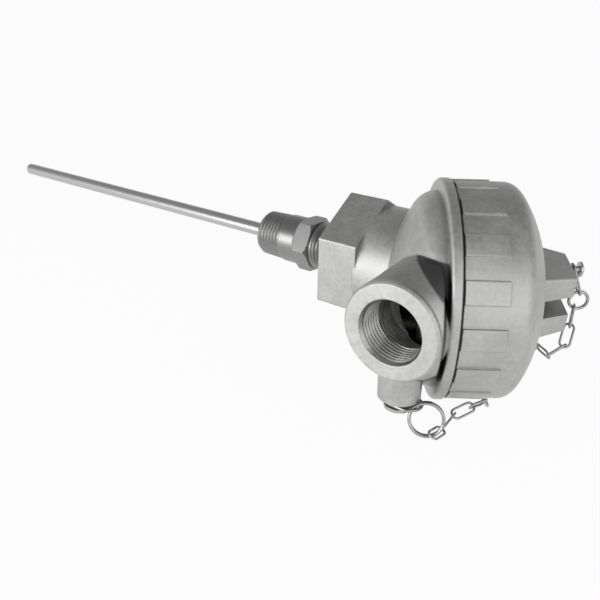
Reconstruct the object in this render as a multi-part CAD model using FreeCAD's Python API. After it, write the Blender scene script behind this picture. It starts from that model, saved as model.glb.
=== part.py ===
import FreeCAD, Part
import math
import os

os.makedirs("parts", exist_ok=True)
Vector, Rotation, Placement = FreeCAD.Vector, FreeCAD.Rotation, FreeCAD.Placement

# Row frame, mm: origin on the probe axis at the large end of the process thread,
# +X along the probe towards the head, +Z up, conduit inlet opening to -Y.
# Cap frame: (k, m, z), k along the cap axis away from the head, m towards the inlet side.
cap_angle = 33.5
gasket_centre_x = 81.65
gasket_centre_y = -10.39
gasket_centre = Vector(gasket_centre_x, gasket_centre_y, 0)
cap_frame = Placement(gasket_centre, Rotation(Vector(0, 0, 1), cap_angle))

seat_gap = 0.05
thread_gap = 0.4
sliding_gap = 0.03

# Probe
sheath_r = 6.35 / 2
sheath_bore_r = 2.4
sheath_tip_x = -203.2
sheath_tip_round = 1.0
sheath_tip_wall = 1.6
sheath_end_x = 50.0
element_length = 25.0
lead_r = 0.7
lead_spread = 1.15

# Hex nipple
process_thread_r = 10.6
process_thread_start_x = -12.4
thread_chamfer = 1.0
band_r = 11.0
hex_x = (8.1, 16.1)
hex_across_flats = 22.2
hex_chamfer = 1.1
head_thread_r = 10.55
head_thread_end_x = 44.0

# Head casting; the flange radius leads, and the collar, gasket, bowl and cap follow it
gasket_half = 0.25
boss_x = (31.5, 49.3)
boss_vertex_r = 27.9
boss_edge_round = 1.0
neck_r = 24.6
passage_r = 8.0
passage_end_x = 64.0
flange_r = 43.5
flange_k = (-4.0, -gasket_half - seat_gap)
flange_round = 1.5
bowl_r = flange_r - 5.0
bowl_crown_k = -22.3
collar_r = flange_r - 6.0
collar_bore_r = collar_r - 3.6
collar_k = 12.5
gasket_r = (collar_r + 0.7, flange_r - 0.9)

# Conduit hub and chain boss
hub_x = 83.5
hub_r = 19.0
hub_face_y = -56.0
hub_bevel = 0.9
hub_end_y = -20.0
hub_flare_y = (-54.5, -40.0, -30.0)
hub_flare_r = 23.3
hub_flare_shift = 6.0
hub_flare_end_k = -6.5
conduit_thread_r = 12.56
conduit_thread_length = 14.0
conduit_runout_r = 12.2
conduit_runout_y = -34.0
conduit_inner_r = 11.0
conduit_inner_y = -26.0
chain_boss = Vector(hub_x, -flange_r - 0.9, 0)
chain_boss_r = (8.25, 8.6)
chain_boss_z = (-31.3, -12.0)
shoulder_r = 3.6
boss_screw_r = 1.6
boss_screw_length = 6.3
boss_screw_head_r = 5.6
boss_screw_head_z = (chain_boss_z[0] - 4.7, chain_boss_z[0] - 3.4)

# Terminal block
post_z = 16.5
post_r = 3.6
post_screw_r = 1.6
post_screw_bottom_k = -14.0
block_r = 21.0
block_k = (-9.0, 0.0)
block_hole_r = 4.0
block_screw_head_r = 3.2
block_screw_head = 2.2
terminal_m = (6.0, 16.0)
terminal_z = (4.0, 10.0)
terminal_top_k = 5.0
terminal_lead_k = 2.2
terminal_screw_r = 1.2
terminal_screw_m = (8.5, 13.5)
terminal_screw_bottom_k = 3.1
terminal_screw_head_r = 1.9
terminal_screw_head = 1.5

# Cap
cap_lip_k = gasket_half + seat_gap
cap_r = flange_r - 1.1
cap_shoulder_k = 20.8
cap_bore_r = collar_r + thread_gap
cap_bore_k = 14.0
panel_r = cap_r + 0.65
panel_k = (0.8, 16.0)
panel_count = 16
lug_tip_k = 47.9
lug_root_k = 32.5
lug_half_length = (9.5, 14.5)
lug_half_height = (12.5, 14.4)
lug_slot_half = 4.1
lug_slot_floor_k = 35.2
lug_corner_round = 1.2
lug_clock = 9.5
cap_screw_at = (-2.5, 9.2)
cap_screw_r = 1.3
cap_screw_bottom_k = 42.0
cap_screw_head_r = 3.0
cap_screw_head_k = (lug_tip_k + 4.4, lug_tip_k + 6.0)

# Chain; the guide points were measured at a cap of radius guide_cap_r and grow with the cap
chain_wire_r = 0.48
link_round = 1.97
link_pitch = 8.6
link_reach = 0.7
ring_wire_r = 0.65
cap_eyelet_round = 2.2
jump_ring_r = 3.65
jump_ring_at = (lug_tip_k + 6.2, 0.0, -3.3)
boss_eyelet_round = 5.0
boss_eyelet_half = 7.2
boss_eyelet_turn = -1.4
split_ring_r = 6.4
split_ring_turn_step = 1.0
split_ring_hang = 1.51
split_ring_roll = -30.2
split_ring_hook = 2.41
guide_cap_r = 43.05
cap_guides = [
    (52.7, 0.0, -17.0), (50.7, 3.8, -20.1), (47.5, 2.5, -25.7), (43.4, -10.3, -28.9),
    (41.8, -9.7, -33.2), (34.0, -9.0, -42.1), (25.1, -1.0, -45.4), (20.1, 10.4, -45.5),
]
cap_link_roll = -15.7
head_guides = [
    (1.4, 30.4, -44.9), (8.6, 22.4, -39.7), (8.5, 24.8, -40.7), (19.4, 16.3, -41.6), (21.2, 9.2, -46.1),
]
head_link_roll = -25.7


def at_cap(k, m, z):
    return cap_frame.multVec(Vector(k, -m, z))


def cap_dir(k, m, z):
    return cap_frame.Rotation.multVec(Vector(k, -m, z)).normalize()


def save(name, shape):
    shape.exportStep("parts/%s.step" % name)


def in_cap_frame(shape):
    placed = shape.copy()
    placed.Placement = cap_frame.multiply(placed.Placement)
    return placed


def turned(*steps):
    """Solid turned about X from (x, r) points; a step of four numbers is an arc's middle and end."""
    points = [Vector(step[-2], step[-1], 0) for step in steps]
    edges = []
    for start, step, end in zip(points, steps[1:], points[1:]):
        if len(step) == 4:
            edges.append(Part.Arc(start, Vector(step[0], step[1], 0), end).toShape())
        else:
            edges.append(Part.makeLine(start, end))
    edges.append(Part.makeLine(points[-1], points[0]))
    solid = Part.Face(Part.Wire(edges)).revolve(Vector(), Vector(1, 0, 0), 360)
    if solid.Volume < 0:
        solid.reverse()
    return solid


def rod(radius, start, end):
    return Part.makeCylinder(radius, (end - start).Length, start, end - start)


def cap_rod(radius, k, m, z):
    return rod(radius, at_cap(k[0], m, z), at_cap(k[1], m, z))


def hex_prism(x, vertex_r, first):
    corners = []
    for i in range(7):
        angle = math.radians(first + 60 * i)
        corners.append(Vector(x[0], vertex_r * math.cos(angle), vertex_r * math.sin(angle)))
    return Part.Face(Part.makePolygon(corners)).extrude(Vector(x[1] - x[0], 0, 0))


def cap_box(k, m, z):
    size = Vector(k[1] - k[0], m[1] - m[0], z[1] - z[0])
    return in_cap_frame(Part.makeBox(size.x, size.y, size.z, Vector(k[0], -m[1], z[0])))


# Probe sheath, element and hex nipple
tip_bend = sheath_tip_round * (1 - math.sqrt(0.5))
sheath = turned(
    (sheath_tip_x, 0), (sheath_tip_x, sheath_r - sheath_tip_round),
    (sheath_tip_x + tip_bend, sheath_r - tip_bend, sheath_tip_x + sheath_tip_round, sheath_r),
    (sheath_end_x, sheath_r), (sheath_end_x, sheath_bore_r),
    (sheath_tip_x + sheath_tip_wall, sheath_bore_r), (sheath_tip_x + sheath_tip_wall, 0),
)
save("probe_sheath", sheath)

element_start_x = sheath_tip_x + sheath_tip_wall + 1
element_end_x = element_start_x + element_length
save("sensing_element", rod(sheath_bore_r - sliding_gap, Vector(element_start_x, 0, 0), Vector(element_end_x, 0, 0)))

nipple_turning = turned(
    (process_thread_start_x - thread_chamfer, 0),
    (process_thread_start_x - thread_chamfer, process_thread_r - thread_chamfer),
    (process_thread_start_x, process_thread_r), (0, process_thread_r), (0, band_r),
    (hex_x[0], band_r), (hex_x[1], band_r), (hex_x[1], head_thread_r),
    (head_thread_end_x - thread_chamfer, head_thread_r),
    (head_thread_end_x, head_thread_r - thread_chamfer), (head_thread_end_x, 0),
)
hex_vertex_r = hex_across_flats / math.sqrt(3)
hex_envelope = turned(
    (hex_x[0], 0), (hex_x[0], hex_vertex_r - 1.5), (hex_x[0] + hex_chamfer, hex_vertex_r),
    (hex_x[1] - hex_chamfer, hex_vertex_r), (hex_x[1], hex_vertex_r - 1.5), (hex_x[1], 0),
)
hexagon = hex_prism(hex_x, hex_vertex_r, 0).common(hex_envelope)
sheath_hole = rod(sheath_r + sliding_gap, Vector(-20, 0, 0), Vector(head_thread_end_x + 1, 0, 0))
save("hex_nipple", nipple_turning.fuse(hexagon).cut(sheath_hole).removeSplitter())

# Head casting, cut to stay behind the gasket
def behind(k, radius):
    return in_cap_frame(turned((-2 * flange_r, 0), (-2 * flange_r, radius), (k, radius), (k, 0)))


boss = hex_prism(boss_x, boss_vertex_r, 30)
boss = boss.makeFillet(boss_edge_round, [e for e in boss.Edges if abs(e.tangentAt(e.FirstParameter).x) > 0.9])
neck = rod(neck_r, Vector(boss_x[1] - 1, 0, 0), Vector(gasket_centre.x, 0, 0)).common(behind(flange_k[1], flange_r))
round_mid = flange_round * (1 - math.sqrt(0.5))
bowl = turned(
    (bowl_crown_k, 0), (bowl_crown_k + 2.9, 18.8, bowl_crown_k + 9.5, bowl_r - 6.1),
    (bowl_crown_k + 12.2, bowl_r - 2.3, flange_k[0] - 2, bowl_r), (flange_k[0], bowl_r),
    (flange_k[0], flange_r - flange_round),
    (flange_k[0] + round_mid, flange_r - round_mid, flange_k[0] + flange_round, flange_r),
    (flange_k[1], flange_r), (flange_k[1], collar_r), (collar_k - 0.8, collar_r), (collar_k, collar_r - 0.8),
    (collar_k, 0),
)
cavity = turned(
    (bowl_crown_k + 4, 0), (bowl_crown_k + 6.7, 18.0, bowl_crown_k + 11.7, collar_bore_r - 5.3),
    (bowl_crown_k + 13.1, collar_bore_r - 2.3, flange_k[0] - 2, collar_bore_r), (collar_k + 1, collar_bore_r),
    (collar_k + 1, 0),
)
hub = turned(
    (hub_face_y, 0), (hub_face_y, hub_r - hub_bevel), (hub_face_y + hub_bevel, hub_r), (hub_end_y, hub_r),
    (hub_end_y, 0),
)
hub.Placement = Placement(Vector(hub_x, 0, 0), Rotation(Vector(0, 0, 1), 90))
hub = hub.common(behind(flange_k[1], 2 * flange_r))
flare_rings = [
    Part.Wire(Part.makeCircle(radius, Vector(hub_x + shift, y, 0), Vector(0, 1, 0)))
    for y, radius, shift in zip(
        hub_flare_y, (hub_r - 0.6, hub_flare_r, hub_flare_r), (0, hub_flare_shift, hub_flare_shift)
    )
]
flare = Part.makeLoft(flare_rings, True, True).common(behind(hub_flare_end_k, flange_r - 1))
small_boss = Part.makeCone(
    chain_boss_r[0], chain_boss_r[1], chain_boss_z[1] - chain_boss_z[0],
    chain_boss + Vector(0, 0, chain_boss_z[0]), Vector(0, 0, 1),
)
head = boss.fuse([neck, in_cap_frame(bowl), hub, flare, small_boss])
head = head.cut(in_cap_frame(cavity))
posts = [cap_rod(post_r, (-19, block_k[0]), 0, side * post_z) for side in (-1, 1)]
head = head.fuse(posts)


def conduit_bore(radius, start_y, end_y):
    return rod(radius, Vector(hub_x, start_y, 0), Vector(hub_x, end_y, 0))


conduit_thread_y = hub_face_y + conduit_thread_length
head_bores = [
    rod(head_thread_r + sliding_gap, Vector(boss_x[0] - 1, 0, 0), Vector(head_thread_end_x + 2, 0, 0)),
    rod(passage_r, Vector(head_thread_end_x, 0, 0), Vector(passage_end_x, 0, 0)),
    conduit_bore(conduit_thread_r, hub_face_y - 1, conduit_thread_y),
    conduit_bore(conduit_runout_r, conduit_thread_y - 1, conduit_runout_y),
    conduit_bore(conduit_inner_r, conduit_runout_y - 1, conduit_inner_y),
    rod(
        boss_screw_r + sliding_gap, chain_boss + Vector(0, 0, chain_boss_z[0] - 1),
        chain_boss + Vector(0, 0, chain_boss_z[0] + boss_screw_length + 1),
    ),
]
for side in (-1, 1):
    head_bores.append(cap_rod(post_screw_r + sliding_gap, (post_screw_bottom_k - 0.5, 0), 0, side * post_z))
for bore in head_bores:
    head = head.cut(bore)
save("head_body", head.removeSplitter())

save("gasket", in_cap_frame(turned(
    (-gasket_half, gasket_r[0]), (-gasket_half, gasket_r[1]), (gasket_half, gasket_r[1]),
    (gasket_half, gasket_r[0]),
)))

# Terminal block, its screws, terminals and leads
block = in_cap_frame(turned(
    (block_k[0], 0), (block_k[0], block_r), (block_k[1] - 1, block_r), (block_k[1], block_r - 1),
    (block_k[1], 0),
))
block = block.cut(cap_rod(block_hole_r, (block_k[0] - 1, block_k[1] + 1), 0, 0))
block_screws = []
for side in (-1, 1):
    block = block.cut(cap_rod(post_screw_r + 0.2, (block_k[0] - 1, block_k[1] + 1), 0, side * post_z))
    shank = cap_rod(post_screw_r, (post_screw_bottom_k, 0.5), 0, side * post_z)
    block_screws.append(shank.fuse(cap_rod(block_screw_head_r, (0, block_screw_head), 0, side * post_z)))
save("terminal_block", block)
save("block_screws", Part.makeCompound(block_screws))

terminal_sides = [(-1, 1), (1, 1), (-1, -1), (1, -1)]
terminal_mid_z = (terminal_z[0] + terminal_z[1]) / 2
terminal_screws = []
for number, (m_side, z_side) in enumerate(terminal_sides, 1):
    m_span = sorted(m_side * m for m in terminal_m)
    z_span = sorted(z_side * z for z in terminal_z)
    terminal = cap_box((block_k[1], terminal_top_k), m_span, z_span)
    z = z_side * terminal_mid_z
    for m in terminal_screw_m:
        m = m_side * m
        terminal = terminal.cut(cap_rod(terminal_screw_r + sliding_gap, (terminal_screw_bottom_k - 0.4, 6), m, z))
        shank = cap_rod(terminal_screw_r, (terminal_screw_bottom_k, terminal_top_k + 0.5), m, z)
        top = (terminal_top_k, terminal_top_k + terminal_screw_head)
        terminal_screws.append(shank.fuse(cap_rod(terminal_screw_head_r, top, m, z)))
    lead_hole = rod(
        lead_r + 0.1, at_cap(terminal_lead_k, m_side * (terminal_m[0] - 1), z),
        at_cap(terminal_lead_k, m_side * (terminal_m[0] + 2.6), z),
    )
    save("terminal_%d" % number, terminal.cut(lead_hole))
save("terminal_screws", Part.makeCompound(terminal_screws))

# Each lead keeps its place in the bundle up to the block's middle hole, then goes to its own terminal.
lead_places = [(lead_spread * 0.6, lead_spread * 0.9), (-lead_spread, 0), (lead_spread * 0.6, -lead_spread * 0.9)]
for number, ((m_side, z_side), (across, up)) in enumerate(zip(terminal_sides, lead_places), 1):
    start = Vector(element_end_x + 0.5, across, up)
    bend_start = Vector(sheath_end_x + 4, across, up)
    bundle_place = Vector(0, across, up)
    bends = [at_cap(k, m, 0) + bundle_place for k, m in ((-14.0, -17.0), (-12.9, -9.0), (-10.9, -3.4))]
    bends += [
        at_cap(-5.0, m_side * 1.5, z_side * 1.5),
        at_cap(0.2, m_side * 1.9, z_side * 2.0),
        at_cap(terminal_lead_k, m_side * (terminal_m[0] - 1.6), z_side * (terminal_mid_z - 0.6)),
        at_cap(terminal_lead_k, m_side * (terminal_m[0] + 2.0), z_side * terminal_mid_z),
    ]
    curve = Part.BSplineCurve()
    curve.interpolate(
        Points=[bend_start] + bends, InitialTangent=Vector(6, 0, 0), FinalTangent=cap_dir(0, m_side, 0) * 3
    )
    path = Part.Wire([Part.makeLine(start, bend_start), curve.toShape()])
    profile = Part.Wire(Part.makeCircle(lead_r, start, Vector(1, 0, 0)))
    save("lead_wire_%d" % number, path.makePipeShell([profile], True, False))

# Cap casting with its grip panels and lugs
cap_outside = turned(
    (cap_lip_k, 0), (cap_lip_k, cap_r - 0.4), (cap_lip_k + 0.4, cap_r), (cap_shoulder_k, cap_r),
    (23.2, cap_r - 0.6, 25.6, cap_r - 2.6), (30.2, cap_r - 10.4, 34.2, 16.5), (34.7, 8.0), (34.7, 0),
)
panel_section = Part.makePolygon([
    Vector(panel_k[0], cap_r - 0.5, 0), Vector(panel_k[1], cap_r - 0.5, 0), Vector(panel_k[1], panel_r, 0),
    Vector(panel_k[0], panel_r, 0), Vector(panel_k[0], cap_r - 0.5, 0),
])
panel_step = 360 / panel_count
panels = []
for i in range(panel_count):
    panel = Part.Face(panel_section).revolve(Vector(), Vector(1, 0, 0), panel_step / 2)
    if panel.Volume < 0:
        panel.reverse()
    panel.rotate(Vector(), Vector(1, 0, 0), panel_step * (i - 0.25))
    panels.append(panel)
cap_inside = turned(
    (cap_lip_k - 1, 0), (cap_lip_k - 1, cap_bore_r), (cap_bore_k, cap_bore_r), (cap_bore_k, cap_bore_r - 0.9),
    (19.5, cap_bore_r - 0.9), (22.0, cap_bore_r - 1.7, 24.2, cap_bore_r - 3.9),
    (28.2, cap_bore_r - 11.4, 30.6, 13.0), (30.9, 6.0), (30.9, 0),
)


def lug_outline(k, half_length, half_height):
    corners = [(1, 1), (-1, 1), (-1, -1), (1, -1), (1, 1)]
    return Part.makePolygon([Vector(k, a * half_length, b * half_height) for a, b in corners])


lugs = Part.makeLoft([
    lug_outline(lug_root_k, lug_half_length[1], lug_half_height[1]),
    lug_outline(lug_tip_k, lug_half_length[0], lug_half_height[0]),
], True)
lugs = lugs.makeFillet(lug_corner_round, [
    edge for edge in lugs.Edges if abs(edge.Vertexes[0].X - edge.Vertexes[1].X) > 1
])
slot_depth = lug_tip_k + 1 - lug_slot_floor_k
slot = Part.makeBox(
    slot_depth, 4 * lug_half_length[1], 2 * lug_slot_half,
    Vector(lug_slot_floor_k, -2 * lug_half_length[1], -lug_slot_half),
)
lugs = lugs.cut(slot)
lug_turn = Rotation(Vector(1, 0, 0), lug_clock)
lugs.Placement = Placement(Vector(), lug_turn)
screw_spot = lug_turn.multVec(Vector(0, -cap_screw_at[0], cap_screw_at[1]))
screw_m, screw_z = -screw_spot.y, screw_spot.z

cap = in_cap_frame(cap_outside.fuse(panels).cut(cap_inside).fuse(lugs))
cap = cap.cut(cap_rod(cap_screw_r + sliding_gap, (cap_screw_bottom_k - 0.5, lug_tip_k + 1), screw_m, screw_z))
save("cap", cap.removeSplitter())

cap_screw = cap_rod(cap_screw_r, (cap_screw_bottom_k, cap_screw_head_k[0] + 0.5), screw_m, screw_z)
cap_screw_head = turned(
    (cap_screw_head_k[0], 0), (cap_screw_head_k[0], cap_screw_head_r),
    (cap_screw_head_k[0] + 0.8, cap_screw_head_r), (cap_screw_head_k[1], cap_screw_head_r - 1.4),
    (cap_screw_head_k[1], 0),
)
cap_screw_head.translate(Vector(0, -screw_m, screw_z))
save("cap_drive_screw", cap_screw.fuse(in_cap_frame(cap_screw_head)).removeSplitter())


# Chain, its rings and eyelets
def wire_loop(wire_r, round_r, half_length):
    """Closed wire loop about the origin, long along X, lying in the XY plane."""
    straight = half_length - round_r
    pieces = []
    for side in (-1, 1):
        pieces.append(rod(wire_r, Vector(-straight, side * round_r, 0), Vector(straight, side * round_r, 0)))
        end = Part.makeTorus(round_r, wire_r, Vector(), Vector(0, 0, 1), -180, 180, 180)
        end.rotate(Vector(), Vector(0, 0, 1), -90 * side)
        end.translate(Vector(side * straight, 0, 0))
        pieces.append(end)
    return pieces[0].fuse(pieces[1:]).removeSplitter()


def laid(shape, centre, along, face_normal):
    """Places a loop with its X along `along` and its flat side facing `face_normal`."""
    along = Vector(along).normalize()
    across = Vector(face_normal).cross(along).normalize()
    placed = shape.copy()
    placed.Placement = Placement(centre, Rotation(along, across, along.cross(across), "XYZ"))
    return placed


def chain_links(prefix, start, guides, facing):
    """Links in a row, one pitch each towards the next guide point, each turned a quarter from the last."""
    link = wire_loop(chain_wire_r, link_round, link_pitch / 2 + link_reach)
    growth = panel_r / guide_cap_r
    joint = start
    for number, (k, m, z) in enumerate(guides, 1):
        along = (at_cap(k, m * growth, z * growth) - joint).normalize()
        following = joint + along * link_pitch
        facing = facing - along * facing.dot(along) if number == 1 else along.cross(facing)
        facing.normalize()
        save("%s_%d" % (prefix, number), laid(link, (joint + following) / 2, along, facing))
        joint = following
    return joint


jump_ring_centre = at_cap(*jump_ring_at)
ring_inner_reach = jump_ring_r - ring_wire_r - chain_wire_r - 0.12
save("jump_ring", Part.makeTorus(jump_ring_r, ring_wire_r, jump_ring_centre, cap_dir(0, 1, 0)))

eyelet_top = at_cap(lug_tip_k + 2.5, screw_m, screw_z)
eyelet_bottom = jump_ring_centre + cap_dir(0, 0, 1) * ring_inner_reach
eyelet_along = (eyelet_bottom - eyelet_top).normalize()
eyelet_half = ((eyelet_bottom - eyelet_top).Length + cap_eyelet_round) / 2
eyelet = laid(
    wire_loop(chain_wire_r, cap_eyelet_round, eyelet_half),
    eyelet_bottom - eyelet_along * eyelet_half, eyelet_along, cap_dir(1, 0, 0),
)
save("cap_eyelet", eyelet)

cap_chain_start = jump_ring_centre + cap_dir(-0.48, 0, -0.88) * ring_inner_reach + cap_dir(0, 0, -1) * link_reach
cap_link_face = Rotation(Vector(0, 0, 1), cap_link_roll).multVec(cap_dir(1, 0, 0))
cap_chain_end = chain_links("cap_link", cap_chain_start, cap_guides, cap_link_face)

boss_screw_end_z = chain_boss_z[0] + boss_screw_length
boss_screw_parts = [
    rod(radius, chain_boss + Vector(0, 0, top_z), chain_boss + Vector(0, 0, boss_screw_head_z[0]))
    for radius, top_z in (
        (boss_screw_r, boss_screw_end_z), (shoulder_r, chain_boss_z[0]), (boss_screw_head_r, boss_screw_head_z[1])
    )
]
save("boss_screw", boss_screw_parts[0].fuse(boss_screw_parts[1:]).removeSplitter())

boss_eyelet_along = Rotation(Vector(0, 0, 1), boss_eyelet_turn).multVec(Vector(1, 0, 0))
boss_eyelet_top = chain_boss + Vector(0, 0, chain_boss_z[0] - 2.0)
boss_eyelet_centre = boss_eyelet_top + boss_eyelet_along * (boss_eyelet_half - boss_eyelet_round)
boss_loop = wire_loop(ring_wire_r, boss_eyelet_round, boss_eyelet_half)
save("boss_eyelet", laid(boss_loop, boss_eyelet_centre, boss_eyelet_along, Vector(0, 0, 1)))

split_drop = cap_dir(0.538, 0.36, -0.93)
split_hang = boss_eyelet_centre + boss_eyelet_along * boss_eyelet_half
split_centre = split_hang + split_drop * (split_ring_r - split_ring_hang)
split_normal = Rotation(split_drop, split_ring_roll).multVec(boss_eyelet_along.cross(Vector(0, 0, 1)))
split_normal = (split_normal - split_drop * split_normal.dot(split_drop)).normalize()
split_turns = [
    Part.makeTorus(split_ring_r, ring_wire_r, split_centre + split_normal * step, split_normal)
    for step in (-split_ring_turn_step / 2, split_ring_turn_step / 2)
]
save("split_ring", split_turns[0].fuse(split_turns[1]).removeSplitter())

split_bottom = split_centre + split_drop * split_ring_r
growth = panel_r / guide_cap_r
first_guide = Vector(head_guides[0][0], head_guides[0][1] * growth, head_guides[0][2] * growth)
first_along = (at_cap(first_guide.x, first_guide.y, first_guide.z) - split_bottom).normalize()
head_chain_start = split_bottom - first_along * (split_ring_hook - link_reach)
head_link_face = Rotation(first_along, head_link_roll).multVec(split_normal.cross(split_drop))
head_chain_end = chain_links("head_link", head_chain_start, head_guides, head_link_face)
print("open pivot: %.2f mm between the two end joints" % (cap_chain_end - head_chain_end).Length)
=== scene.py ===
import math

import bmesh
import bpy
from mathutils import Matrix, Vector


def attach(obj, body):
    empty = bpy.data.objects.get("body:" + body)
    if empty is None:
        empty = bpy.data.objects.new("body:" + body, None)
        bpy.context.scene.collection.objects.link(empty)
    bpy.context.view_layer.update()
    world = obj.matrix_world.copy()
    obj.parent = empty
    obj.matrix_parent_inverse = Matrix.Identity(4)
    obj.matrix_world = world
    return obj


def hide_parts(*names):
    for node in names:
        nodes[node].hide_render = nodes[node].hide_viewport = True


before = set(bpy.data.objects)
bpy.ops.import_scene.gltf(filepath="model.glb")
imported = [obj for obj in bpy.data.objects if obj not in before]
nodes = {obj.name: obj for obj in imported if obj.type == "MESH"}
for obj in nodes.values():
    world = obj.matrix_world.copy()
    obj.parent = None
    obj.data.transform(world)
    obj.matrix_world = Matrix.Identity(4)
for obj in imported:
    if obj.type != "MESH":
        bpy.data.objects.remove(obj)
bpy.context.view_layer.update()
print("frame loaded:", len(nodes), "nodes")


# Camera, fitted to the photograph's view of the probe, boss, cap and hub
camera = {
    "right": (0.80971397, 0.58672049, 0.01106142),
    "up": (-0.26008967, 0.34191672, 0.90302066),
    "back": (0.52603864, -0.73406540, 0.42945469),
    "place": (0.181280, -0.245887, 0.112895),
    "lens": 41.387,
    "sensor": 36.0,
    "clipStart": 0.005,
}


def makeCamera(c):
    data = bpy.data.cameras.new("camera")
    data.sensor_width = c["sensor"]
    data.lens = c["lens"]
    data.clip_start = c["clipStart"]
    cam = bpy.data.objects.new("camera", data)
    turn = Matrix((c["right"], c["up"], c["back"])).transposed()
    cam.matrix_world = Matrix.Translation(c["place"]) @ turn.to_4x4()
    bpy.context.scene.collection.objects.link(cam)
    bpy.context.scene.camera = cam


makeCamera(camera)
print("camera made")


# Node helpers
def addNode(tree, kind, **settings):
    node = tree.nodes.new(kind)
    for name, value in settings.items():
        setattr(node, name, value)
    return node


def newGroup(name, inputs, outputs):
    group = bpy.data.node_groups.new(name, "ShaderNodeTree")
    for title, kind, default in inputs:
        made = group.interface.new_socket(title, in_out="INPUT", socket_type=kind)
        made.default_value = default
    for title, kind in outputs:
        group.interface.new_socket(title, in_out="OUTPUT", socket_type=kind)
    return group, addNode(group, "NodeGroupInput"), addNode(group, "NodeGroupOutput")


def mathNode(tree, operation, a, b):
    node = addNode(tree, "ShaderNodeMath", operation=operation)
    for i, value in enumerate((a, b)):
        if isinstance(value, (int, float)):
            node.inputs[i].default_value = value
        else:
            tree.links.new(value, node.inputs[i])
    return node.outputs[0]


def distanceNode(tree, a, b):
    square = mathNode(tree, "ADD", mathNode(tree, "POWER", a, 2.0), mathNode(tree, "POWER", b, 2.0))
    return mathNode(tree, "SQRT", square, 0.0)


# Places that both the finishes and the pieces use; K runs along the cap's axis and R is the distance from it
capFrame = {"place": (0.08165, -0.01039, 0.0), "angle": 33.5}
hubAxisX = 0.0835
hubSwelling = {
    "rangeY": (-0.0545, -0.0400), "shift": 0.0060, "radius": (0.0184, 0.0233),
    "endY": -0.0405, "endK": -0.0065, "proud": 0.00008, "innerR": 0.0172, "rows": 30, "columns": 180,
    "smooth": 40,
}
# where painted shade darkens the swelling's skin; each pair runs from where the shade starts to where it is
# whole
swellingPaintedShade = {
    "besideFlangeK": (-0.0074, -0.0058), "leanZ": 0.0136, "lean": 0.9, "topZ": (0.0130, 0.0185),
    "topShare": 0.24, "skin": (0.0008, 0.0002), "fromFaceY": (-0.0552, -0.0545),
    "outsideHub": (0.0180, 0.0187), "flangeK": (-0.0036, -0.0039), "flangeR": (0.0431, 0.0426),
    "behindFlangeK": (-0.0050, -0.0055),
}


# cast and blasted skin: fine grain, a mottle of a few millimetres and soft larger blotches
castSkinSettings = {"detail": 2.5, "maskRange": (0.74, 1.26)}


def makeCastSkin(c):
    group, given, out = newGroup(
        "castSkin",
        [("Grain", "NodeSocketFloat", 2600.0), ("Mottle", "NodeSocketFloat", 620.0),
         ("Blotch", "NodeSocketFloat", 90.0)],
        [("Height", "NodeSocketFloat"), ("Mask", "NodeSocketFloat")],
    )
    place = addNode(group, "ShaderNodeTexCoord").outputs["Object"]
    noises = {}
    for title in ("Grain", "Mottle", "Blotch"):
        noise = addNode(group, "ShaderNodeTexNoise")
        noise.inputs["Detail"].default_value = c["detail"]
        group.links.new(place, noise.inputs["Vector"])
        group.links.new(given.outputs[title], noise.inputs["Scale"])
        noises[title] = noise.outputs["Fac"]
    group.links.new(mathNode(group, "ADD", noises["Grain"], noises["Mottle"]), out.inputs["Height"])
    both = mathNode(group, "ADD", noises["Mottle"], noises["Blotch"])
    mask = addNode(group, "ShaderNodeMapRange")
    mask.inputs["From Min"].default_value, mask.inputs["From Max"].default_value = c["maskRange"]
    group.links.new(both, mask.inputs["Value"])
    group.links.new(mask.outputs["Result"], out.inputs["Mask"])
    return group


# turning marks: rings that stand across one axis
turnMarksDetail = 3.0


def makeTurnMarks(detail):
    group, given, out = newGroup(
        "turnMarks",
        [("Lines", "NodeSocketFloat", 9000.0), ("Across", "NodeSocketFloat", 60.0)],
        [("Height", "NodeSocketFloat"), ("Mask", "NodeSocketFloat")],
    )
    place = addNode(group, "ShaderNodeTexCoord").outputs["Object"]
    parts = addNode(group, "ShaderNodeSeparateXYZ")
    group.links.new(place, parts.inputs[0])
    stretched = addNode(group, "ShaderNodeCombineXYZ")
    for i, name in enumerate(("Lines", "Across", "Across")):
        scaled = mathNode(group, "MULTIPLY", parts.outputs[i], given.outputs[name])
        group.links.new(scaled, stretched.inputs[i])
    noise = addNode(group, "ShaderNodeTexNoise")
    noise.inputs["Scale"].default_value = 1.0
    noise.inputs["Detail"].default_value = detail
    group.links.new(stretched.outputs[0], noise.inputs["Vector"])
    group.links.new(noise.outputs["Fac"], out.inputs["Height"])
    group.links.new(noise.outputs["Fac"], out.inputs["Mask"])
    return group


# faced end of the conduit hub: which points are on it, and its turning rings
def makeFacedEnd():
    group, given, out = newGroup(
        "facedEnd",
        [("Face Y", "NodeSocketFloat", -0.05594), ("Axis X", "NodeSocketFloat", hubAxisX),
         ("Rings", "NodeSocketFloat", 1800.0)],
        [("Height", "NodeSocketFloat"), ("Mask", "NodeSocketFloat")],
    )
    place = addNode(group, "ShaderNodeTexCoord").outputs["Object"]
    parts = addNode(group, "ShaderNodeSeparateXYZ")
    group.links.new(place, parts.inputs[0])
    on = mathNode(group, "LESS_THAN", parts.outputs["Y"], given.outputs["Face Y"])
    aside = mathNode(group, "SUBTRACT", parts.outputs["X"], given.outputs["Axis X"])
    fromAxis = distanceNode(group, aside, parts.outputs["Z"])
    radius = mathNode(group, "MULTIPLY", fromAxis, given.outputs["Rings"])
    ring = addNode(group, "ShaderNodeTexNoise", noise_dimensions="1D")
    ring.inputs["Scale"].default_value = 1.0
    group.links.new(radius, ring.inputs["W"])
    group.links.new(mathNode(group, "MULTIPLY", ring.outputs["Fac"], on), out.inputs["Height"])
    group.links.new(on, out.inputs["Mask"])
    return group
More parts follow.
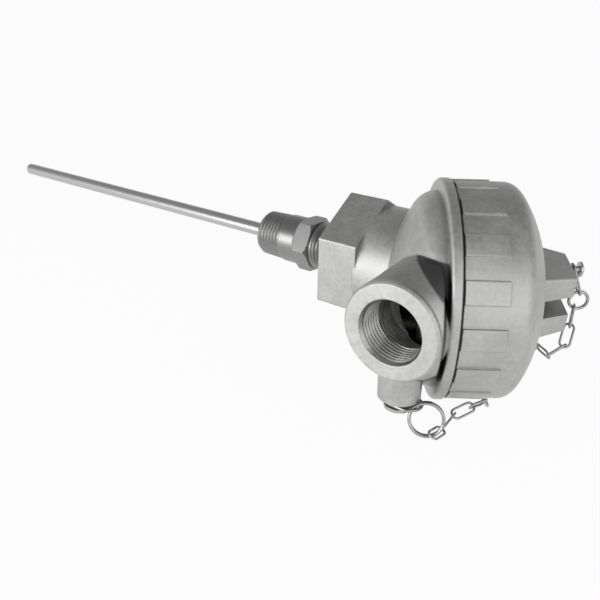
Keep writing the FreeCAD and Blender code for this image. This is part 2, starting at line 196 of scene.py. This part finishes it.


# painted shade: how open a point is to its surroundings, 1 in the open and less in corners and crevices,
# where it darkens the colour
paintedCreviceShadeSettings = {"reach": 0.011, "closed": 0.12, "open": 0.72, "samples": 8}


def makePaintedCreviceShade(o):
    group, given, out = newGroup(
        "paintedCreviceShade", [("Darkest", "NodeSocketFloat", 0.2)], [("Mask", "NodeSocketFloat")],
    )
    hidden = addNode(group, "ShaderNodeAmbientOcclusion", samples=o["samples"])
    hidden.inputs["Distance"].default_value = o["reach"]
    spread = addNode(group, "ShaderNodeMapRange", interpolation_type="SMOOTHSTEP")
    spread.inputs["From Min"].default_value = o["closed"]
    spread.inputs["From Max"].default_value = o["open"]
    group.links.new(hidden.outputs["AO"], spread.inputs["Value"])
    group.links.new(given.outputs["Darkest"], spread.inputs["To Min"])
    group.links.new(spread.outputs["Result"], out.inputs["Mask"])
    return group


# painted shade on the swelling behind the conduit hub, darkest beside the flange and a little darker towards
# the top; 1 elsewhere
def makeHubValleyPaintedShade(h, shade):
    group, given, out = newGroup(
        "hubValleyPaintedShade", [("Darkest", "NodeSocketFloat", 0.22)], [("Mask", "NodeSocketFloat")],
    )

    def ramp(value, start, end, first=0.0, last=1.0, kind="SMOOTHSTEP"):
        node = addNode(group, "ShaderNodeMapRange", interpolation_type=kind)
        node.inputs["From Min"].default_value, node.inputs["From Max"].default_value = start, end
        node.inputs["To Min"].default_value, node.inputs["To Max"].default_value = first, last
        group.links.new(value, node.inputs["Value"])
        return node.outputs["Result"]

    place = addNode(group, "ShaderNodeTexCoord").outputs["Object"]
    parts = addNode(group, "ShaderNodeSeparateXYZ")
    group.links.new(place, parts.inputs[0])
    x, y, z = parts.outputs
    turn = math.radians(capFrame["angle"])
    aside = addNode(group, "ShaderNodeVectorMath", operation="SUBTRACT")
    aside.inputs[1].default_value = capFrame["place"]
    group.links.new(place, aside.inputs[0])
    inCap = []
    for direction in ((math.cos(turn), math.sin(turn), 0), (math.sin(turn), -math.cos(turn), 0)):
        dot = addNode(group, "ShaderNodeVectorMath", operation="DOT_PRODUCT")
        dot.inputs[1].default_value = direction
        group.links.new(aside.outputs[0], dot.inputs[0])
        inCap.append(dot.outputs["Value"])
    k, m = inCap
    fromHub = mathNode(group, "SUBTRACT", x, hubAxisX)
    fromSwelling = mathNode(group, "SUBTRACT", fromHub, ramp(y, *h["rangeY"], 0.0, h["shift"], "LINEAR"))
    skinR = ramp(y, *h["rangeY"], *h["radius"], "LINEAR")
    over = mathNode(group, "SUBTRACT", distanceNode(group, fromSwelling, z), skinR)
    fromMiddle = mathNode(group, "SUBTRACT", mathNode(group, "ABSOLUTE", z, 0.0), shade["leanZ"])
    leaning = mathNode(group, "MULTIPLY", mathNode(group, "MAXIMUM", fromMiddle, 0.0), shade["lean"])
    besideFlange = ramp(mathNode(group, "ADD", k, leaning), *shade["besideFlangeK"])
    mask = mathNode(group, "MAXIMUM", besideFlange, ramp(z, *shade["topZ"], 0.0, shade["topShare"]))
    limits = (
        (over, shade["skin"]), (y, shade["fromFaceY"]), (k, shade["flangeK"]),
        (distanceNode(group, fromHub, z), shade["outsideHub"]),
    )
    for value, limit in limits:
        mask = mathNode(group, "MULTIPLY", mask, ramp(value, *limit))
    insideRim = ramp(distanceNode(group, m, z), *shade["flangeR"])
    offFlange = mathNode(group, "MAXIMUM", insideRim, ramp(k, *shade["behindFlangeK"]))
    mask = mathNode(group, "MULTIPLY", mask, offFlange)
    darkened = ramp(mask, 0.0, 1.0, 1.0, 0.0, "LINEAR")
    group.links.new(given.outputs["Darkest"], darkened.node.inputs["To Max"])
    group.links.new(darkened, out.inputs["Mask"])
    return group


castSkin = makeCastSkin(castSkinSettings)
turnMarks = makeTurnMarks(turnMarksDetail)
facedEnd = makeFacedEnd()
paintedCreviceShade = makePaintedCreviceShade(paintedCreviceShadeSettings)
hubValleyPaintedShade = makeHubValleyPaintedShade(hubSwelling, swellingPaintedShade)
print("effects made")


# Materials: each finish mixes a dark and a light tone by its effect's mask; some finishes also darken that
# colour with painted shade in crevices and behind the conduit hub
finishes = {
    "castAluminium": {
        "group": castSkin, "values": {"Grain": 2600.0, "Mottle": 620.0, "Blotch": 90.0}, "metallic": 1.0,
        "dark": (0.405, 0.405, 0.40), "light": (0.505, 0.505, 0.50), "rough": (0.48, 0.58),
        "bump": 0.30, "depth": 0.00012, "edge": 0.0007, "paintedCreviceShade": 0.32, "faced": (1.16, 1.16, 1.15),
    },
    "threadAluminium": {
        "group": castSkin, "values": {"Grain": 3000.0, "Mottle": 900.0, "Blotch": 200.0}, "metallic": 1.0,
        "dark": (0.34, 0.34, 0.335), "light": (0.46, 0.46, 0.455), "rough": (0.34, 0.44),
        "bump": 0.12, "depth": 0.00003, "edge": 0.0, "paintedCreviceShade": 0.15,
    },
    "sheathSteel": {
        "group": turnMarks, "values": {"Lines": 900.0, "Across": 900.0}, "metallic": 1.0,
        "dark": (0.45, 0.45, 0.45), "light": (0.54, 0.54, 0.54), "rough": (0.30, 0.38),
        "bump": 0.10, "depth": 0.00003, "edge": 0.0,
    },
    "nippleSteel": {
        "group": turnMarks, "values": {"Lines": 7000.0, "Across": 120.0}, "metallic": 1.0,
        "dark": (0.23, 0.23, 0.23), "light": (0.33, 0.33, 0.325), "rough": (0.30, 0.40),
        "bump": 0.15, "depth": 0.00003, "edge": 0.0003,
    },
    "screwSteel": {
        "group": castSkin, "values": {"Grain": 3000.0, "Blotch": 400.0}, "metallic": 1.0,
        "dark": (0.38, 0.38, 0.38), "light": (0.52, 0.52, 0.51), "rough": (0.26, 0.36),
        "bump": 0.10, "depth": 0.00003, "edge": 0.0002,
    },
    "wireSteel": {
        "group": castSkin, "values": {"Grain": 2400.0, "Blotch": 300.0}, "metallic": 1.0,
        "dark": (0.30, 0.30, 0.30), "light": (0.46, 0.46, 0.46), "rough": (0.20, 0.32),
        "bump": 0.10, "depth": 0.00003, "edge": 0.0,
    },
    "gasketRubber": {
        "group": castSkin, "values": {"Grain": 3000.0, "Blotch": 300.0}, "metallic": 0.0,
        "dark": (0.008, 0.008, 0.008), "light": (0.016, 0.016, 0.016), "rough": (0.60, 0.72),
        "bump": 0.25, "depth": 0.00005, "edge": 0.0,
    },
    "ceramic": {
        "group": castSkin, "values": {"Grain": 1500.0, "Blotch": 120.0}, "metallic": 0.0,
        "dark": (0.76, 0.73, 0.66), "light": (0.84, 0.82, 0.75), "rough": (0.22, 0.34),
        "bump": 0.12, "depth": 0.00005, "edge": 0.0004,
    },
    "terminalBrass": {
        "group": turnMarks, "values": {"Lines": 3000.0, "Across": 600.0}, "metallic": 1.0,
        "dark": (0.62, 0.43, 0.17), "light": (0.74, 0.54, 0.24), "rough": (0.26, 0.38),
        "bump": 0.15, "depth": 0.00003, "edge": 0.0003,
    },
    "redLead": {
        "group": castSkin, "values": {"Grain": 1600.0, "Blotch": 200.0}, "metallic": 0.0,
        "dark": (0.42, 0.02, 0.015), "light": (0.52, 0.03, 0.02), "rough": (0.34, 0.46),
        "bump": 0.10, "depth": 0.00003, "edge": 0.0,
    },
    "whiteLead": {
        "group": castSkin, "values": {"Grain": 1600.0, "Blotch": 200.0}, "metallic": 0.0,
        "dark": (0.74, 0.74, 0.72), "light": (0.82, 0.82, 0.80), "rough": (0.34, 0.46),
        "bump": 0.10, "depth": 0.00003, "edge": 0.0,
    },
}


def makeFinish(name, f):
    material = bpy.data.materials.new(name)
    material.use_nodes = True
    tree = material.node_tree
    shader = tree.nodes["Principled BSDF"]
    shader.inputs["Metallic"].default_value = f["metallic"]
    effect = addNode(tree, "ShaderNodeGroup", node_tree=f["group"])
    for title, value in f["values"].items():
        effect.inputs[title].default_value = value
    tone = addNode(tree, "ShaderNodeMix", data_type="RGBA")
    tone.inputs["A"].default_value = (*f["dark"], 1)
    tone.inputs["B"].default_value = (*f["light"], 1)
    tree.links.new(effect.outputs["Mask"], tone.inputs["Factor"])
    colour, height = tone.outputs["Result"], effect.outputs["Height"]
    if "faced" in f:
        face = addNode(tree, "ShaderNodeGroup", node_tree=facedEnd)
        faced = addNode(tree, "ShaderNodeMix", data_type="RGBA", blend_type="MULTIPLY")
        faced.inputs["B"].default_value = (*f["faced"], 1)
        tree.links.new(face.outputs["Mask"], faced.inputs["Factor"])
        tree.links.new(colour, faced.inputs["A"])
        colour = faced.outputs["Result"]
        height = mathNode(tree, "ADD", height, face.outputs["Height"])
    # painted shade: the colour is darkened in corners and crevices
    if "paintedCreviceShade" in f:
        creviceShadeNode = addNode(tree, "ShaderNodeGroup", node_tree=paintedCreviceShade)
        creviceShadeNode.inputs["Darkest"].default_value = f["paintedCreviceShade"]
        # painted shade on the swelling between the conduit hub and the flange
        valleyShadeNode = addNode(tree, "ShaderNodeGroup", node_tree=hubValleyPaintedShade)
        shaded = addNode(tree, "ShaderNodeMix", data_type="RGBA", blend_type="MULTIPLY")
        shaded.inputs["Factor"].default_value = 1.0
        tree.links.new(colour, shaded.inputs["A"])
        darkening = mathNode(tree, "MULTIPLY", creviceShadeNode.outputs["Mask"], valleyShadeNode.outputs["Mask"])
        tree.links.new(darkening, shaded.inputs["B"])
        colour = shaded.outputs["Result"]
    tree.links.new(colour, shader.inputs["Base Color"])
    rough = addNode(tree, "ShaderNodeMapRange")
    rough.inputs["To Min"].default_value, rough.inputs["To Max"].default_value = f["rough"]
    tree.links.new(effect.outputs["Mask"], rough.inputs["Value"])
    tree.links.new(rough.outputs["Result"], shader.inputs["Roughness"])
    bump = addNode(tree, "ShaderNodeBump")
    bump.inputs["Strength"].default_value = f["bump"]
    bump.inputs["Distance"].default_value = f["depth"]
    tree.links.new(height, bump.inputs["Height"])
    if f["edge"]:
        rounding = addNode(tree, "ShaderNodeBevel", samples=6)
        rounding.inputs["Radius"].default_value = f["edge"]
        tree.links.new(rounding.outputs["Normal"], bump.inputs["Normal"])
    tree.links.new(bump.outputs["Normal"], shader.inputs["Normal"])
    return material


materials = {name: makeFinish(name, f) for name, f in finishes.items()}
print("materials made:", len(materials))


# Finishes of the CAD nodes
nodeFinish = {
    "head_body": "castAluminium", "cap": "castAluminium", "probe_sheath": "sheathSteel",
    "hex_nipple": "nippleSteel", "gasket": "gasketRubber", "terminal_block": "ceramic",
    "sensing_element": "ceramic", "terminal_screws": "screwSteel", "block_screws": "screwSteel",
    "boss_screw": "screwSteel", "cap_drive_screw": "screwSteel", "lead_wire_1": "redLead",
    "lead_wire_2": "redLead", "lead_wire_3": "whiteLead",
}


def finishOf(name):
    if name in nodeFinish:
        return nodeFinish[name]
    return "terminalBrass" if name.startswith("terminal_") else "wireSteel"


def smoothByAngle(obj, degrees):
    for other in bpy.context.selected_objects:
        other.select_set(False)
    obj.select_set(True)
    bpy.context.view_layer.objects.active = obj
    bpy.ops.object.shade_auto_smooth(angle=math.radians(degrees))


for name, node in nodes.items():
    node.data.materials.clear()
    node.data.materials.append(materials[finishOf(name)])
print("CAD nodes finished")


# Threads, which the solids leave plain; crest and root are shares of a turn
pipeThread = {"pitch": 0.001814, "crest": 0.16, "root": 0.10}


def capMatrix():
    return Matrix.Translation(capFrame["place"]) @ Matrix.Rotation(math.radians(capFrame["angle"]), 4, "Z")


def hubMatrix(y):
    return Matrix.Translation((hubAxisX, y, 0)) @ Matrix.Rotation(math.pi / 2, 4, "Z")


def turnedPiece(name, stations, radiusAt, columns, closed=True):
    # rows of points round the X axis; radiusAt gives the radius at a station and an angle
    verts, faces = [], []
    for x in stations:
        for c in range(columns):
            angle = 2 * math.pi * c / columns
            r = radiusAt(x, angle)
            verts.append((x[0], r * math.cos(angle), r * math.sin(angle)))
    rows = len(stations)
    for row in range(rows if closed else rows - 1):
        a, b = row * columns, (row + 1) % rows * columns
        for c in range(columns):
            d = (c + 1) % columns
            faces.append((a + c, a + d, b + d, b + c))
    mesh = bpy.data.meshes.new(name)
    mesh.from_pydata(verts, [], faces)
    obj = bpy.data.objects.new(name, mesh)
    bpy.context.scene.collection.objects.link(obj)
    return obj


def grooveDepth(turns, thread):
    # 0 on the crest, 1 in the root of a V thread
    t = abs((turns % 1.0) - 0.5) * 2
    span = 1 - thread["crest"] - thread["root"]
    return min(1.0, max(0.0, (1 - t - thread["crest"]) / span))


def recalcNormals(obj):
    bm = bmesh.new()
    bm.from_mesh(obj.data)
    bmesh.ops.remove_doubles(bm, verts=bm.verts, dist=1e-7)
    bmesh.ops.recalc_face_normals(bm, faces=bm.faces)
    bm.to_mesh(obj.data)
    bm.free()


nipple = {
    "threadStart": -0.0134, "threadEnd": 0.0, "threadR": 0.0106, "taper": 1 / 32, "depth": 0.00085,
    "lead": 0.0008, "leadDrop": 0.0013, "leadSlope": 1.1, "runout": 0.0016, "relief": 0.0004,
    "bandR": 0.0110, "hexStart": 0.0081, "hexEnd": 0.0161, "acrossFlats": 0.0222, "chamfer": 0.0011,
    "chamferR": 0.01132, "chamferRows": 8, "undercut": 0.0003, "shoulder": 0.0001,
    "shankR": 0.01055, "shankEnd": 0.0315, "pastEnd": 0.0010, "end": 0.0440, "boreR": 0.003205,
    "columns": 144, "rowsPerTurn": 12, "smooth": 28,
}


def makeNipple(n):
    pitch = pipeThread["pitch"]
    hexR = n["acrossFlats"] / math.sqrt(3)

    def spread(start, end, steps):
        return [start + (end - start) * i / steps for i in range(steps + 1)]

    threadFrom, threadTo = n["threadStart"] + n["lead"], n["threadEnd"] - n["relief"]
    steps = int((threadTo - threadFrom) / pitch * n["rowsPerTurn"])
    stations = [(n["threadStart"], "face"), (n["threadStart"], "chamfer")]
    stations += [(x, "thread") for x in spread(threadFrom, threadTo, steps)]
    stations += [(n["threadEnd"], "band"), (n["hexStart"] - n["relief"], "band")]
    stations += [(n["hexStart"] - n["shoulder"], "neck")]
    stations += [(x, "hex") for x in spread(n["hexStart"], n["hexStart"] + n["chamfer"], n["chamferRows"])]
    stations += [(x, "hex") for x in spread(n["hexEnd"] - n["chamfer"], n["hexEnd"], n["chamferRows"])]
    steps = int((n["shankEnd"] - n["hexEnd"]) / pitch * n["rowsPerTurn"])
    stations += [(n["hexEnd"], "plain")]
    stations += [(x, "shank") for x in spread(n["hexEnd"] + n["lead"], n["shankEnd"] + n["pastEnd"], steps)]
    stations += [(n["end"], "plain"), (n["end"], "face")]

    def radiusAt(station, angle):
        x, kind = station
        turns = x / pitch - angle / (2 * math.pi)
        if kind == "face":
            return n["boreR"]
        if kind == "chamfer":
            return n["threadR"] - n["leadDrop"]
        if kind == "thread":
            fade = min(1.0, max(0.0, (threadTo - x) / n["runout"]))
            full = n["threadR"] + n["taper"] * (x - n["threadEnd"])
            full = min(full, n["threadR"] - n["leadDrop"] + (x - n["threadStart"]) * n["leadSlope"])
            return full - n["depth"] * fade * grooveDepth(turns, pipeThread)
        if kind == "band":
            return n["bandR"]
        if kind == "neck":
            return n["bandR"] - n["undercut"]
        if kind == "hex":
            corner = (angle + math.pi / 6) % (math.pi / 3) - math.pi / 6
            flat = n["acrossFlats"] / 2 / math.cos(math.pi / 6 - abs(corner))
            inset = min(x - n["hexStart"], n["hexEnd"] - x) / n["chamfer"]
            cone = n["chamferR"] + (hexR - n["chamferR"]) * min(1.0, inset)
            return min(flat, cone)
        if kind == "shank":
            fade = min(1.0, max(0.0, (x - n["hexEnd"] - n["lead"]) / n["runout"]))
            return n["shankR"] - n["depth"] * fade * grooveDepth(turns, pipeThread)
        return n["shankR"] - n["undercut"]

    made = turnedPiece("hexNipple", stations, radiusAt, n["columns"])
    recalcNormals(made)
    made.data.materials.append(materials["nippleSteel"])
    smoothByAngle(made, n["smooth"])
    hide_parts("hex_nipple")
    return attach(made, "head")


makeNipple(nipple)


inletThread = {
    "mouthY": -0.0560, "inset": 0.0002, "cone": 0.0014, "fadeIn": 0.0006,
    "firstR": 0.01252, "firstEnd": 0.0137, "secondR": 0.01216, "end": 0.0218, "ridge": 0.00085,
    "columns": 144, "rowsPerTurn": 12, "smooth": 40,
    "crownK": -0.0183, "crownBend": 9.0, "cavityR": 0.0339,
}


def inCavity(point, t):
    # whether a point of the cap frame, with X along the cap's axis, is inside the bowl
    r = math.hypot(point.y, point.z)
    return r < t["cavityR"] and point.x > t["crownK"] + t["crownBend"] * r * r


def makeInletThread(t):
    pitch = pipeThread["pitch"]
    steps = int((t["end"] - t["inset"]) / pitch * t["rowsPerTurn"])
    stations = [(t["inset"] + (t["end"] - t["inset"]) * i / steps,) for i in range(steps + 1)]

    def radiusAt(station, angle):
        x = station[0]
        base = t["firstR"] if x < t["firstEnd"] else t["secondR"]
        entry = min(1.0, (x - t["inset"]) / t["cone"])
        grooved = min(1.0, max(0.0, (x - t["cone"]) / t["fadeIn"]))
        ridge = t["ridge"] - (t["firstR"] - base)
        groove = grooveDepth(x / pitch - angle / (2 * math.pi), pipeThread)
        return base - ridge * entry * (1 - grooved * groove)

    made = turnedPiece("inletThread", stations, radiusAt, t["columns"], closed=False)
    made.data.transform(hubMatrix(t["mouthY"]))
    back = capMatrix().inverted()
    bm = bmesh.new()
    bm.from_mesh(made.data)
    inBowl = [face for face in bm.faces if inCavity(back @ face.calc_center_median(), t)]
    bmesh.ops.delete(bm, geom=inBowl, context="FACES")
    bmesh.ops.reverse_faces(bm, faces=bm.faces)
    bm.to_mesh(made.data)
    bm.free()
    made.data.materials.append(materials["threadAluminium"])
    smoothByAngle(made, t["smooth"])
    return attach(made, "head")


makeInletThread(inletThread)


# the swelling behind the hub, whole where the solid is cut just inside the flange's radius
def makeSwelling(h):
    start, full = h["rangeY"]
    length = h["endY"] - start

    def grown(y):
        return min(1.0, max(0.0, (y - start) / (full - start)))

    def radiusAt(station, angle):
        y, side = station
        if side == "inner":
            return h["innerR"]
        return h["radius"][0] + (h["radius"][1] - h["radius"][0]) * grown(start + y) + h["proud"]

    stations = [(0.0, "inner")]
    stations += [(length * i / h["rows"], "outer") for i in range(h["rows"] + 1)]
    stations += [(length, "inner")]
    made = turnedPiece("hubSwelling", stations, radiusAt, h["columns"])
    made.data.transform(hubMatrix(start))
    for vertex in made.data.vertices:
        vertex.co.x += h["shift"] * grown(vertex.co.y)
    turn = math.radians(capFrame["angle"])
    along = Vector((math.cos(turn), math.sin(turn), 0))
    bm = bmesh.new()
    bm.from_mesh(made.data)
    cut = bmesh.ops.bisect_plane(
        bm, geom=bm.verts[:] + bm.edges[:] + bm.faces[:], dist=1e-7,
        plane_co=Vector(capFrame["place"]) + along * h["endK"], plane_no=along, clear_outer=True,
    )
    rim = [edge for edge in cut["geom_cut"] if isinstance(edge, bmesh.types.BMEdge)]
    bmesh.ops.triangle_fill(bm, use_beauty=True, edges=rim)
    bmesh.ops.recalc_face_normals(bm, faces=bm.faces)
    bm.to_mesh(made.data)
    bm.free()
    made.data.materials.append(materials["castAluminium"])
    smoothByAngle(made, h["smooth"])
    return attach(made, "head")


makeSwelling(hubSwelling)


capThreads = {
    "collar": {"start": 0.0022, "end": 0.0114, "r": 0.03751, "ridge": 0.00014},
    "cap": {"start": 0.0016, "end": 0.0136, "r": 0.03789, "ridge": -0.00014},
    "pitch": 0.0020, "columns": 160, "rowsPerTurn": 8, "smooth": 40,
}


def makeCapThread(part, body, c):
    t = c[part]
    steps = int((t["end"] - t["start"]) / c["pitch"] * c["rowsPerTurn"])
    stations = [(t["start"] + (t["end"] - t["start"]) * i / steps, i in (0, steps)) for i in range(steps + 1)]

    def radiusAt(station, angle):
        turns = station[0] / c["pitch"] - angle / (2 * math.pi)
        return t["r"] + (0 if station[1] else t["ridge"] * (1 - grooveDepth(turns, pipeThread)))

    made = turnedPiece(part + "Thread", stations, radiusAt, c["columns"], closed=False)
    made.data.transform(capMatrix())
    if t["ridge"] < 0:
        made.data.flip_normals()
    made.data.materials.append(materials["castAluminium"])
    smoothByAngle(made, c["smooth"])
    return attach(made, body)


for part, body in (("collar", "head"), ("cap", "cap")):
    makeCapThread(part, body, capThreads)
print("threads and swelling made")


# Floor, surroundings and lamps
studio = {
    "floorZ": -0.0476,
    "floorSize": 14.0,
    "floorColour": (0.90, 0.90, 0.90),
    "floorRoughness": 0.9,
    "floorGlow": 0.94,
    "sky": {"range": (0.05, 0.60), "low": 1.0, "high": 0.36},
    "key": {"place": (-0.20, -0.60, 0.06), "size": 0.5, "power": 3.0},
    "fill": {"place": (0.60, -0.30, 0.25), "size": 0.6, "power": 1.2},
    "target": (0.06, 0.0, 0.0),
}


def makeFloor(s):
    mesh = bpy.data.meshes.new("floor")
    half = s["floorSize"] / 2
    corners = [(-half, -half), (half, -half), (half, half), (-half, half)]
    mesh.from_pydata([(x, y, s["floorZ"]) for x, y in corners], [], [(0, 1, 2, 3)])
    floor = bpy.data.objects.new("floor", mesh)
    bpy.context.scene.collection.objects.link(floor)
    material = bpy.data.materials.new("paleFloor")
    material.use_nodes = True
    tree = material.node_tree
    shader = tree.nodes["Principled BSDF"]
    shader.inputs["Base Color"].default_value = (*s["floorColour"], 1)
    shader.inputs["Roughness"].default_value = s["floorRoughness"]
    white = addNode(tree, "ShaderNodeEmission")
    rays = addNode(tree, "ShaderNodeLightPath")
    seen = mathNode(tree, "MAXIMUM", rays.outputs["Is Camera Ray"], rays.outputs["Is Glossy Ray"])
    seen = mathNode(tree, "MAXIMUM", seen, rays.outputs["Is Transmission Ray"])
    share = mathNode(tree, "MULTIPLY", seen, s["floorGlow"])
    mix = addNode(tree, "ShaderNodeMixShader")
    tree.links.new(share, mix.inputs[0])
    tree.links.new(shader.outputs[0], mix.inputs[1])
    tree.links.new(white.outputs[0], mix.inputs[2])
    tree.links.new(mix.outputs[0], tree.nodes["Material Output"].inputs["Surface"])
    mesh.materials.append(material)


def makeWorld(sky):
    world = bpy.data.worlds.new("world")
    bpy.context.scene.world = world
    world.use_nodes = True
    tree = world.node_tree
    tree.nodes.clear()
    place = addNode(tree, "ShaderNodeTexCoord")
    parts = addNode(tree, "ShaderNodeSeparateXYZ")
    tree.links.new(place.outputs["Generated"], parts.inputs[0])
    ramp = addNode(tree, "ShaderNodeMapRange", interpolation_type="SMOOTHSTEP")
    ramp.inputs["From Min"].default_value, ramp.inputs["From Max"].default_value = sky["range"]
    ramp.inputs["To Min"].default_value = sky["low"]
    ramp.inputs["To Max"].default_value = sky["high"]
    tree.links.new(parts.outputs["Z"], ramp.inputs["Value"])
    around = addNode(tree, "ShaderNodeBackground")
    tree.links.new(ramp.outputs["Result"], around.inputs["Color"])
    backdrop = addNode(tree, "ShaderNodeBackground")
    backdrop.inputs["Color"].default_value = (1, 1, 1, 1)
    rays = addNode(tree, "ShaderNodeLightPath")
    mix = addNode(tree, "ShaderNodeMixShader")
    out = addNode(tree, "ShaderNodeOutputWorld")
    tree.links.new(rays.outputs["Is Camera Ray"], mix.inputs[0])
    tree.links.new(around.outputs[0], mix.inputs[1])
    tree.links.new(backdrop.outputs[0], mix.inputs[2])
    tree.links.new(mix.outputs[0], out.inputs["Surface"])


def makeLamp(name, lamp, target):
    data = bpy.data.lights.new(name, "AREA")
    data.size = lamp["size"]
    data.energy = lamp["power"]
    obj = bpy.data.objects.new(name, data)
    obj.location = lamp["place"]
    obj.rotation_euler = (Vector(target) - Vector(lamp["place"])).to_track_quat("-Z", "Y").to_euler()
    bpy.context.scene.collection.objects.link(obj)


makeFloor(studio)
makeWorld(studio["sky"])
for name in ("key", "fill"):
    makeLamp(name, studio[name], studio["target"])
bpy.context.scene.view_settings.view_transform = "Standard"
print("studio made")
